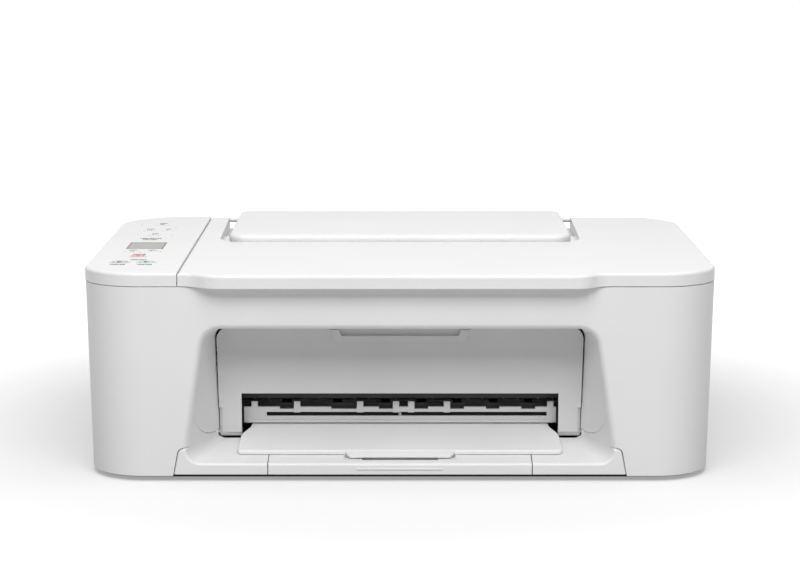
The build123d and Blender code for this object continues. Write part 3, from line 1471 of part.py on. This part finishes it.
pieces = {
    "bottom_case": bottom_case,
    "main_case": main_case,
    "left_base_front": lambda: hinged_base_front(-1),
    "right_base_front": lambda: hinged_base_front(1),
    "operation_panel": operation_panel,
    "lcd_window": lcd_window,
    "document_cover": document_cover,
    "platen_pad": platen_pad,
    "paper_support": paper_support,
    "scanner_housing": scanner_housing,
    "platen_frame": platen_frame,
    "platen_glass": platen_glass,
    "scan_bar": scan_bar,
    "scan_rod": scan_rod,
    "rear_deck": rear_deck,
    "rear_tray": rear_tray,
    "left_paper_guide": lambda: paper_guide(-1),
    "right_paper_guide": lambda: paper_guide(1),
    "guide_pinion": guide_pinion,
    "access_cover": access_cover,
    "output_tray": output_tray,
    "output_extension": output_extension,
    "exit_guide": exit_guide,
    "platen": platen,
    "spur_holder": spur_holder,
    "star_wheels": star_wheels,
    "exit_roller": exit_roller,
    "feed_roller": feed_roller,
    "pinch_rollers": pinch_rollers,
    "pinch_holder": pinch_holder,
    "pickup_roller": pickup_roller,
    "drive_belt": drive_belt,
    "feed_motor": feed_motor,
    "feed_pinion": feed_pinion,
    "chassis": chassis,
    "carriage_rod": carriage_rod,
    "carriage": carriage,
    "black_cartridge": lambda: cartridge(1),
    "color_cartridge": lambda: cartridge(-1),
    "black_lock": lambda: cartridge_lock(1),
    "color_lock": lambda: cartridge_lock(-1),
    "carriage_belt": carriage_belt,
    "motor_pulley": motor_pulley,
    "idler_pulley": idler_pulley,
    "carriage_motor": carriage_motor,
    "purge_unit": purge_unit,
    "logic_board": logic_board,
    "power_supply": power_supply,
    "power_inlet": power_inlet,
    "rubber_feet": rubber_feet,
    "case_screws": case_screws,
}
for name, places in buttons.items():
    pieces[name] = lambda places=places: panel_button(*places)

os.makedirs("parts", exist_ok=True)
for name, make in pieces.items():
    export_step(make(), "parts/" + name + ".step")
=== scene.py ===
import math

import bpy
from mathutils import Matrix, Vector


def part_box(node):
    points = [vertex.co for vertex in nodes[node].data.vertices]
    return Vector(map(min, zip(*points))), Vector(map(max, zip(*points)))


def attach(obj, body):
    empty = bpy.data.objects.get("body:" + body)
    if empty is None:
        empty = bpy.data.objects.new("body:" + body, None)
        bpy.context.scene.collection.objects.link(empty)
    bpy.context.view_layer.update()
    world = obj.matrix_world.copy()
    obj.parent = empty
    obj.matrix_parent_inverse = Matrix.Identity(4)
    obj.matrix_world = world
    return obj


# A compact white multifunction printer on a white ground. Lengths are in metres unless a name ends
# in _mm or a number is multiplied by MM. X is to the right, Y to the back, Z up.

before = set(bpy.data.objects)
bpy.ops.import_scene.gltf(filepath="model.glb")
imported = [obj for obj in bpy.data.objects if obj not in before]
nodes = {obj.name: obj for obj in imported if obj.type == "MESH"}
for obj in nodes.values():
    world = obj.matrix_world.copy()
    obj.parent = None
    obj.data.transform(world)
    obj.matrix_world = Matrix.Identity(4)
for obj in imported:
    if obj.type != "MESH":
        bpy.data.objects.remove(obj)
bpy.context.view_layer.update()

MM = 0.001

# The photograph's camera
camera_place = (0.0, -1.73839, 0.384353)
camera_pitch = math.radians(8.887)
camera_lens_mm = 107.34
sensor_mm = 36.0
clip_near, clip_far = 0.05, 60.0

# Levels of light. Each lamp has a name, place, target, width and depth, and power in watts.
sky_level = 0.10
white_level = 1.0
lamps = [
    ("overhead", (0.0, -0.25, 1.7), (0.0, 0.0, 0.1), (1.6, 1.3), 14.0),
    ("front", (0.0, -1.5, 1.5), (0.0, 0.0, 0.06), (2.2, 1.0), 33.0),
    ("rim", (0.0, 1.6, 1.2), (0.0, 0.0, 0.1), (1.8, 0.8), 1.5),
]

# The ground, and how its glow rises with the distance from the middle
ground_size = 60.0
ground_glow_near = 0.34
ground_glow_far = 1.0
glow_start, glow_end = 0.22, 0.75

# Colours in linear light
shell_white = (0.80, 0.80, 0.80)
cover_grey = (0.66, 0.66, 0.665)
dark_plastic = (0.018, 0.018, 0.019)
guide_grey = (0.60, 0.60, 0.60)
floor_white = (0.55, 0.55, 0.55)
legend_grey = (0.035, 0.035, 0.04)
legend_pale = (0.14, 0.14, 0.15)
stop_red = (0.62, 0.10, 0.09)
start_teal = (0.28, 0.55, 0.53)
start_grey = (0.36, 0.36, 0.36)
white = (1, 1, 1, 1)
glass_tones = ((0.90, 0.96, 0.94, 1), (0.95, 0.99, 0.98, 1))
display_tones = ((0.235, 0.240, 0.205, 1), (0.265, 0.270, 0.232, 1))
board_tones = ((0.01, 0.09, 0.04, 1), (0.02, 0.16, 0.07, 1))

# Relief of the surfaces
bevel_samples = 6
relief_gain = 10
relief_distance = 0.00005

# Printed marks: the part of its step that a mark fills, the two heights of a row, and the lamp dots
mark_fill = 0.8
tall_mark, short_mark = 1.7, 1.2
dot_half_wide_mm, dot_half_deep_mm, dot_points = 0.55, 0.9, 12

# Each row: x, y, width and depth in mm, and the number of marks
legend_rows_mm = {
    "power_row": (-184.8, 112.6, 6.0, 2.6, 4),
    "network_row": (-191.6, 78.6, 6.0, 2.2, 4),
    "information_row": (-178.0, 78.6, 4.0, 2.2, 3),
    "direct_row": (-185.0, 52.5, 5.0, 2.2, 4),
    "display_row": (-185.8, 26.0, 16.0, 2.6, 9),
    "display_lower_row": (-185.8, 19.5, 11.0, 2.2, 7),
    "paper_row": (-192.1, -37.0, 6.4, 2.2, 4),
    "plus_row": (-178.3, -37.0, 6.4, 2.2, 4),
    "stop_row": (-185.5, -57.6, 9.4, 2.4, 6),
    "start_row": (-183.2, -84.6, 11.6, 2.4, 7),
    "black_row": (-195.4, -107.4, 10.6, 2.4, 6),
    "color_row": (-176.6, -107.4, 10.6, 2.4, 6),
}
panel_lamps_mm = [(-201.0, 104.0), (-172.8, 86.1), (-197.7, 46.2), (-172.0, 44.0), (-198.0, -44.1),
                  (-185.6, -50.0), (-171.9, -44.1)]


def shade(color, factor):
    """The colour made lighter or darker, with an alpha of 1."""
    return tuple(min(1.0, c * factor) for c in color) + (1.0,)


def new_material(name):
    """An empty node material with its output and main shader."""
    material = bpy.data.materials.new(name)
    material.use_nodes = True
    tree = material.node_tree
    tree.nodes.clear()
    out = tree.nodes.new("ShaderNodeOutputMaterial")
    shader = tree.nodes.new("ShaderNodeBsdfPrincipled")
    tree.links.new(shader.outputs["BSDF"], out.inputs["Surface"])
    return material, tree, shader


def noise(tree, scale, detail=3.0, stretch=(1.0, 1.0, 1.0)):
    """A noise texture on the object's own coordinates."""
    place = tree.nodes.new("ShaderNodeTexCoord")
    mapping = tree.nodes.new("ShaderNodeMapping")
    mapping.inputs["Scale"].default_value = stretch
    texture = tree.nodes.new("ShaderNodeTexNoise")
    texture.inputs["Scale"].default_value = scale
    texture.inputs["Detail"].default_value = detail
    tree.links.new(place.outputs["Object"], mapping.inputs["Vector"])
    tree.links.new(mapping.outputs["Vector"], texture.inputs["Vector"])
    return texture.outputs["Fac"]


def ramp(tree, source, low, high, start=0.35, end=0.65):
    """Two colours blended by a source."""
    node = tree.nodes.new("ShaderNodeValToRGB")
    node.color_ramp.elements[0].position = start
    node.color_ramp.elements[1].position = end
    node.color_ramp.elements[0].color = low
    node.color_ramp.elements[1].color = high
    tree.links.new(source, node.inputs["Fac"])
    return node.outputs["Color"]


def spread(tree, source, low, high):
    """A number between two limits, driven by a source."""
    node = tree.nodes.new("ShaderNodeMapRange")
    node.inputs["To Min"].default_value = low
    node.inputs["To Max"].default_value = high
    tree.links.new(source, node.inputs["Value"])
    return node.outputs["Result"]


def soft_edges(tree, radius):
    """A surface normal that rounds sharp edges by a small radius."""
    node = tree.nodes.new("ShaderNodeBevel")
    node.samples = bevel_samples
    node.inputs["Radius"].default_value = radius
    return node.outputs["Normal"]


def grained(name, color, rough=(0.36, 0.44), tone=0.03, grain=2600.0, depth=0.012, edge=0.0004,
            metallic=0.0, stretch=(1.0, 1.0, 1.0), coat=0.0):
    """A moulded, rubbery or metal surface with a slight unevenness of tone, gloss and relief."""
    material, tree, shader = new_material(name)
    broad = noise(tree, 14.0, 2.0, stretch)
    fine = noise(tree, grain, 2.0, stretch)
    color_out = ramp(tree, broad, shade(color, 1.0 - tone), shade(color, 1.0 + tone))
    tree.links.new(color_out, shader.inputs["Base Color"])
    tree.links.new(spread(tree, broad, *rough), shader.inputs["Roughness"])
    shader.inputs["Metallic"].default_value = metallic
    shader.inputs["Coat Weight"].default_value = coat
    bump = tree.nodes.new("ShaderNodeBump")
    bump.inputs["Strength"].default_value = depth * relief_gain
    bump.inputs["Distance"].default_value = relief_distance
    tree.links.new(fine, bump.inputs["Height"])
    if edge:
        tree.links.new(soft_edges(tree, edge), bump.inputs["Normal"])
    tree.links.new(bump.outputs["Normal"], shader.inputs["Normal"])
    return material


def glass_material():
    """Clear plate glass with faint haze."""
    material, tree, shader = new_material("platen_glass_clear")
    haze = noise(tree, 30.0)
    tree.links.new(ramp(tree, haze, *glass_tones), shader.inputs["Base Color"])
    tree.links.new(spread(tree, haze, 0.0, 0.03), shader.inputs["Roughness"])
    shader.inputs["Transmission Weight"].default_value = 1.0
    shader.inputs["IOR"].default_value = 1.5
    return material


def display_material():
    """The unlit display: grey-green, with a faint grain."""
    material, tree, shader = new_material("display_face")
    grain = noise(tree, 90.0, 2.0)
    tree.links.new(ramp(tree, grain, *display_tones), shader.inputs["Base Color"])
    tree.links.new(spread(tree, grain, 0.16, 0.24), shader.inputs["Roughness"])
    shader.inputs["Specular IOR Level"].default_value = 0.2
    return material


def board_material():
    """A green circuit board with darker tracks."""
    material, tree, shader = new_material("board_green")
    tracks = noise(tree, 160.0, 1.0, (1.0, 1.0, 6.0))
    tree.links.new(ramp(tree, tracks, *board_tones, 0.48, 0.52), shader.inputs["Base Color"])
    tree.links.new(spread(tree, tracks, 0.35, 0.5), shader.inputs["Roughness"])
    return material


materials = {
    "shell": grained("shell_white", shell_white, (0.40, 0.48), 0.012),
    "lid": grained("lid_white", shell_white, (0.34, 0.42), 0.012),
    "cover": grained("cover_grey", cover_grey, (0.42, 0.50), 0.02),
    "guide": grained("guide_grey", guide_grey, (0.42, 0.50), 0.03),
    "dark": grained("dark_plastic", dark_plastic, (0.45, 0.55), 0.10),
    "key": grained("key_white", shell_white, (0.34, 0.42), 0.012, edge=0.0002),
    "glass": glass_material(),
    "display": display_material(),
    "pad": grained("pad_white", (0.82, 0.82, 0.81), (0.55, 0.65), 0.02),
    "steel": grained("sheet_steel", (0.55, 0.55, 0.56), (0.28, 0.40), 0.05, 900.0, 0.02, 0.0002, 1.0),
    "rod": grained("ground_rod", (0.66, 0.66, 0.67), (0.14, 0.22), 0.04, 1200.0, 0.02, 0.0, 1.0,
                   (0.05, 1, 1)),
    "roller": grained("roller_rubber", (0.52, 0.52, 0.52), (0.55, 0.70), 0.05),
    "acetal": grained("acetal", (0.74, 0.72, 0.66), (0.28, 0.38), 0.03),
    "belt": grained("belt_rubber", (0.02, 0.02, 0.02), (0.60, 0.75), 0.10, 1500.0, 0.03),
    "ink": grained("cartridge_plastic", (0.02, 0.02, 0.022), (0.20, 0.30), 0.10),
    "board": board_material(),
    "foot": grained("foot_rubber", (0.03, 0.03, 0.03), (0.60, 0.75), 0.10),
    "legend": grained("legend_print", legend_grey, (0.50, 0.60), 0.06, edge=0.0),
    "legend_pale": grained("legend_pale_print", legend_pale, (0.50, 0.60), 0.06, edge=0.0),
    "stop": grained("stop_red_print", stop_red, (0.45, 0.55), 0.06, edge=0.0),
    "teal": grained("start_teal_print", start_teal, (0.45, 0.55), 0.06, edge=0.0),
    "start": grained("start_grey_print", start_grey, (0.45, 0.55), 0.06, edge=0.0),
    # rim: painted shade, the dark colour of the strips that stand for the shade inside the display window's
    # frame
    "rim": grained("painted_frame_shade_dark", (0.055, 0.055, 0.052), (0.35, 0.45), 0.06, edge=0.0),
}

node_finish = {
    "shell": ["main_case", "left_base_front", "right_base_front", "output_extension", "output_tray",
              "rear_deck"],
    "lid": ["operation_panel", "document_cover", "paper_support", "platen_frame"],
    "cover": ["access_cover"],
    "guide": ["exit_guide", "left_paper_guide", "right_paper_guide", "rear_tray"],
    "dark": ["bottom_case", "platen", "spur_holder", "carriage", "pinch_holder", "scanner_housing",
             "scan_bar", "purge_unit", "power_inlet", "power_supply"],
    "glass": ["platen_glass"],
    "display": ["lcd_window"],
    "pad": ["platen_pad"],
    "steel": ["chassis", "case_screws", "star_wheels", "feed_motor", "carriage_motor"],
    "rod": ["carriage_rod", "scan_rod"],
    "roller": ["exit_roller", "feed_roller", "pickup_roller", "pinch_rollers"],
    "acetal": ["feed_pinion", "guide_pinion", "motor_pulley", "idler_pulley"],
    "belt": ["drive_belt", "carriage_belt"],
    "ink": ["black_cartridge", "color_cartridge", "black_lock", "color_lock"],
    "board": ["logic_board"],
    "foot": ["rubber_feet"],
}

key_names = [name for name in nodes if name.endswith("_button")]


def paint(obj, material):
    """Gives an object its one material."""
    obj.data.materials.clear()
    obj.data.materials.append(material)


def finish_nodes():
    """Paints every node of the printer."""
    for finish, names in node_finish.items():
        for name in names:
            paint(nodes[name], materials[finish])
    for name in key_names:
        paint(nodes[name], materials["key"])


def node_centre(name):
    """The middle of a node's box, and the height of its top."""
    low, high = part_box(name)
    return (low[0] + high[0]) / 2, (low[1] + high[1]) / 2, high[2]


def flat_shape(name, rings, z, thick, material, body):
    """A thin printed shape: each ring of (x, y) points is one face, raised to a thickness."""
    points = []
    faces = []
    for ring in rings:
        start = len(points)
        count = len(ring)
        points += [(x, y, z) for x, y in ring]
        points += [(x, y, z + thick) for x, y in ring]
        faces.append([start + i for i in reversed(range(count))])
        faces.append([start + count + i for i in range(count)])
        for i in range(count):
            j = (i + 1) % count
            faces.append([start + i, start + j, start + count + j, start + count + i])
    mesh = bpy.data.meshes.new(name)
    mesh.from_pydata(points, [], faces)
    mesh.update()
    obj = bpy.data.objects.new(name, mesh)
    bpy.context.scene.collection.objects.link(obj)
    obj.data.materials.append(material)
    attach(obj, body)


def bar(x, y, wide, deep):
    """A rectangle of (x, y) points about its middle."""
    return [(x - wide / 2, y - deep / 2), (x + wide / 2, y - deep / 2),
            (x + wide / 2, y + deep / 2), (x - wide / 2, y + deep / 2)]


def ring_pieces(x, y, wide, deep, thick, count=40):
    """A closed oval line, as a row of four-sided faces."""
    pieces = []
    for i in range(count):
        a = 2 * math.pi * i / count
        b = 2 * math.pi * (i + 1) / count
        outer, inner = (wide / 2, deep / 2), (wide / 2 - thick, deep / 2 - thick)
        pieces.append([
            (x + outer[0] * math.cos(a), y + outer[1] * math.sin(a)),
            (x + outer[0] * math.cos(b), y + outer[1] * math.sin(b)),
            (x + inner[0] * math.cos(b), y + inner[1] * math.sin(b)),
            (x + inner[0] * math.cos(a), y + inner[1] * math.sin(a))])
    return pieces


def legend_row(x, y, wide, deep, count):
    """A row of short marks that stands for a line of tiny print."""
    step = wide / count
    left = x - wide / 2
    return [bar(left + step * (i + 0.5), y, step * mark_fill, deep * (tall_mark if i % 3 else short_mark))
            for i in range(count)]


print_thickness = 0.03 * MM
panel_body = "printer_body"
panel_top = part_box("operation_panel")[1][2]


def panel_legends():
    """The small printed rows and lamps beside the keys."""
    for name, (x, y, wide, deep, count) in legend_rows_mm.items():
        marks = legend_row(x * MM, y * MM, wide * MM, deep * MM, count)
        flat_shape("legend_" + name, marks, panel_top, print_thickness, materials["legend"], panel_body)
    turn = 2 * math.pi / dot_points
    wide, deep = dot_half_wide_mm * MM, dot_half_deep_mm * MM
    dots = [[(x * MM + wide * math.cos(a * turn), y * MM + deep * math.sin(a * turn))
             for a in range(dot_points)] for x, y in panel_lamps_mm]
    flat_shape("panel_lamps", dots, panel_top, print_thickness, materials["legend_pale"], panel_body)


def key_print(node, rings, material, suffix="mark"):
    """A printed mark that moves with its key."""
    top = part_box(node)[1][2]
    flat_shape(node + "_" + suffix, rings, top, print_thickness, materials[material], node)


def key_marks():
    """The generic marks on the nine keys."""
    x, y, _ = node_centre("power_button")
    key_print("power_button", ring_pieces(x, y, 4.0 * MM, 4.0 * MM, 0.8 * MM)
              + [bar(x, y, 0.5 * MM, 2.0 * MM)], "legend")
    x, y, _ = node_centre("network_button")
    key_print("network_button", [bar(x + i * 1.5 * MM, y - (1.2 - 0.4 * (i + 1)) * MM, 0.8 * MM,
                                     (1.2 + 0.8 * (i + 1)) * MM) for i in (-1, 0, 1)], "legend")
    x, y, _ = node_centre("information_button")
    key_print("information_button", [bar(x, y - 0.5 * MM, 0.7 * MM, 2.4 * MM),
                                     bar(x, y + 1.6 * MM, 0.7 * MM, 0.8 * MM)], "legend")
    x, y, _ = node_centre("direct_button")
    key_print("direct_button", [bar(x - 1.2 * MM, y, 1.6 * MM, 2.4 * MM),
                                bar(x + 1.3 * MM, y, 0.9 * MM, 1.6 * MM)], "legend")
    x, y, _ = node_centre("paper_button")
    key_print("paper_button", [bar(x, y + i * 1.1 * MM, 3.2 * MM, 0.45 * MM) for i in (-1, 0, 1)], "legend")
    x, y, _ = node_centre("plus_button")
    key_print("plus_button", [bar(x, y, 2.8 * MM, 0.55 * MM), bar(x, y + 0.95 * MM, 0.55 * MM, 1.2 * MM),
                              bar(x, y - 0.95 * MM, 0.55 * MM, 1.2 * MM)], "legend")
    x, y, _ = node_centre("stop_button")
    key_print("stop_button", ring_pieces(x, y, 10.4 * MM, 8.6 * MM, 1.8 * MM), "stop", "ring")
    key_print("stop_button", [bar(x, y, 3.4 * MM, 3.4 * MM)], "stop", "square")
    for node, finish in (("black_start_button", "start"), ("color_start_button", "teal")):
        x, y, _ = node_centre(node)
        key_print(node, ring_pieces(x, y, 12.2 * MM, 11.2 * MM, 2.2 * MM), finish, "ring")
        arrow = [(x - 1.8 * MM, y - 3.4 * MM), (x + 2.8 * MM, y), (x - 1.8 * MM, y + 3.4 * MM)]
        key_print(node, [arrow], "legend", "arrow")


def display_painted_frame_shade():
    """Painted shade: a dark line round the display window, wider at the back, standing for the shade its
    sunk frame casts on the window.
    """
    low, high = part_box("lcd_window")
    x0, y0, x1, y1 = low[0], low[1], high[0], high[1]
    line = 1.0 * MM
    strips = [
        bar((x0 + x1) / 2, y0 + line / 2, x1 - x0, line), bar((x0 + x1) / 2, y1 - line, x1 - x0, 2 * line),
        bar(x0 + line / 2, (y0 + y1) / 2, line, y1 - y0 - 3.2 * line),
        bar(x1 - line / 2, (y0 + y1) / 2, line, y1 - y0 - 3.2 * line)]
    flat_shape("display_painted_frame_shade", strips, high[2], 0.01 * MM, materials["rim"], panel_body)


def seen_ray(tree):
    """One for camera, glossy and transmission rays, and zero for the rays that carry light."""
    path = tree.nodes.new("ShaderNodeLightPath")
    mirrored = tree.nodes.new("ShaderNodeMath")
    tree.links.new(path.outputs["Is Camera Ray"], mirrored.inputs[0])
    tree.links.new(path.outputs["Is Glossy Ray"], mirrored.inputs[1])
    through = tree.nodes.new("ShaderNodeMath")
    through.use_clamp = True
    tree.links.new(mirrored.outputs["Value"], through.inputs[0])
    tree.links.new(path.outputs["Is Transmission Ray"], through.inputs[1])
    return through.outputs["Value"]


def ground():
    """The ground. It takes the printer's shadow, and glows white to the camera further out."""
    bpy.ops.mesh.primitive_plane_add(size=ground_size, location=(0, 0, 0))
    floor = bpy.context.object
    floor.name = "ground"
    material, tree, shader = new_material("ground_white")
    broad = noise(tree, 3.0)
    tree.links.new(ramp(tree, broad, shade(floor_white, 0.995), shade(floor_white, 1.005)),
                   shader.inputs["Base Color"])
    tree.links.new(spread(tree, broad, 0.85, 0.9), shader.inputs["Roughness"])
    shader.inputs["Specular IOR Level"].default_value = 0.1
    out = tree.nodes["Material Output"]
    glow = tree.nodes.new("ShaderNodeEmission")
    glow.inputs["Color"].default_value = white
    place = tree.nodes.new("ShaderNodeTexCoord")
    reach = tree.nodes.new("ShaderNodeVectorMath")
    reach.operation = "LENGTH"
    tree.links.new(place.outputs["Object"], reach.inputs[0])
    level = tree.nodes.new("ShaderNodeMapRange")
    level.interpolation_type = "SMOOTHSTEP"
    level.inputs["From Min"].default_value = glow_start
    level.inputs["From Max"].default_value = glow_end
    level.inputs["To Min"].default_value = ground_glow_near
    level.inputs["To Max"].default_value = ground_glow_far
    tree.links.new(reach.outputs["Value"], level.inputs["Value"])
    tree.links.new(level.outputs["Result"], glow.inputs["Strength"])
    both = tree.nodes.new("ShaderNodeAddShader")
    tree.links.new(shader.outputs["BSDF"], both.inputs[0])
    tree.links.new(glow.outputs["Emission"], both.inputs[1])
    mix = tree.nodes.new("ShaderNodeMixShader")
    tree.links.new(seen_ray(tree), mix.inputs["Fac"])
    tree.links.new(shader.outputs["BSDF"], mix.inputs[1])
    tree.links.new(both.outputs["Shader"], mix.inputs[2])
    tree.links.new(mix.outputs["Shader"], out.inputs["Surface"])
    floor.data.materials.append(material)


def area_light(name, place, target, size, watts):
    """A soft lamp aimed at a point."""
    data = bpy.data.lights.new(name, "AREA")
    data.shape = "RECTANGLE"
    data.size, data.size_y = size
    data.energy = watts
    lamp = bpy.data.objects.new(name, data)
    bpy.context.scene.collection.objects.link(lamp)
    lamp.location = place
    aim = Vector(target) - Vector(place)
    lamp.rotation_euler = aim.to_track_quat("-Z", "Y").to_euler()


def lights():
    """A broad lamp overhead, a soft one in front, and a faint one behind."""
    for lamp in lamps:
        area_light(*lamp)


def white_world():
    """White to camera, glossy and transmission rays, and a dimmer sky for the light it gives."""
    world = bpy.data.worlds.new("white_world")
    bpy.context.scene.world = world
    world.use_nodes = True
    tree = world.node_tree
    tree.nodes.clear()
    out = tree.nodes.new("ShaderNodeOutputWorld")
    seen = tree.nodes.new("ShaderNodeBackground")
    seen.inputs["Color"].default_value = white
    seen.inputs["Strength"].default_value = white_level
    sky = tree.nodes.new("ShaderNodeBackground")
    sky.inputs["Color"].default_value = white
    sky.inputs["Strength"].default_value = sky_level
    mix = tree.nodes.new("ShaderNodeMixShader")
    tree.links.new(seen_ray(tree), mix.inputs["Fac"])
    tree.links.new(sky.outputs["Background"], mix.inputs[1])
    tree.links.new(seen.outputs["Background"], mix.inputs[2])
    tree.links.new(mix.outputs["Shader"], out.inputs["Surface"])


def camera():
    """The camera as the photograph was taken."""
    data = bpy.data.cameras.new("camera")
    data.sensor_width = sensor_mm
    data.lens = camera_lens_mm
    data.clip_start = clip_near
    data.clip_end = clip_far
    obj = bpy.data.objects.new("camera", data)
    bpy.context.scene.collection.objects.link(obj)
    obj.location = camera_place
    obj.rotation_euler = (math.pi / 2 - camera_pitch, 0, 0)
    bpy.context.scene.camera = obj


finish_nodes()
panel_legends()
key_marks()
display_painted_frame_shade()
ground()
lights()
white_world()
camera()
bpy.context.scene.view_settings.view_transform = "Standard"
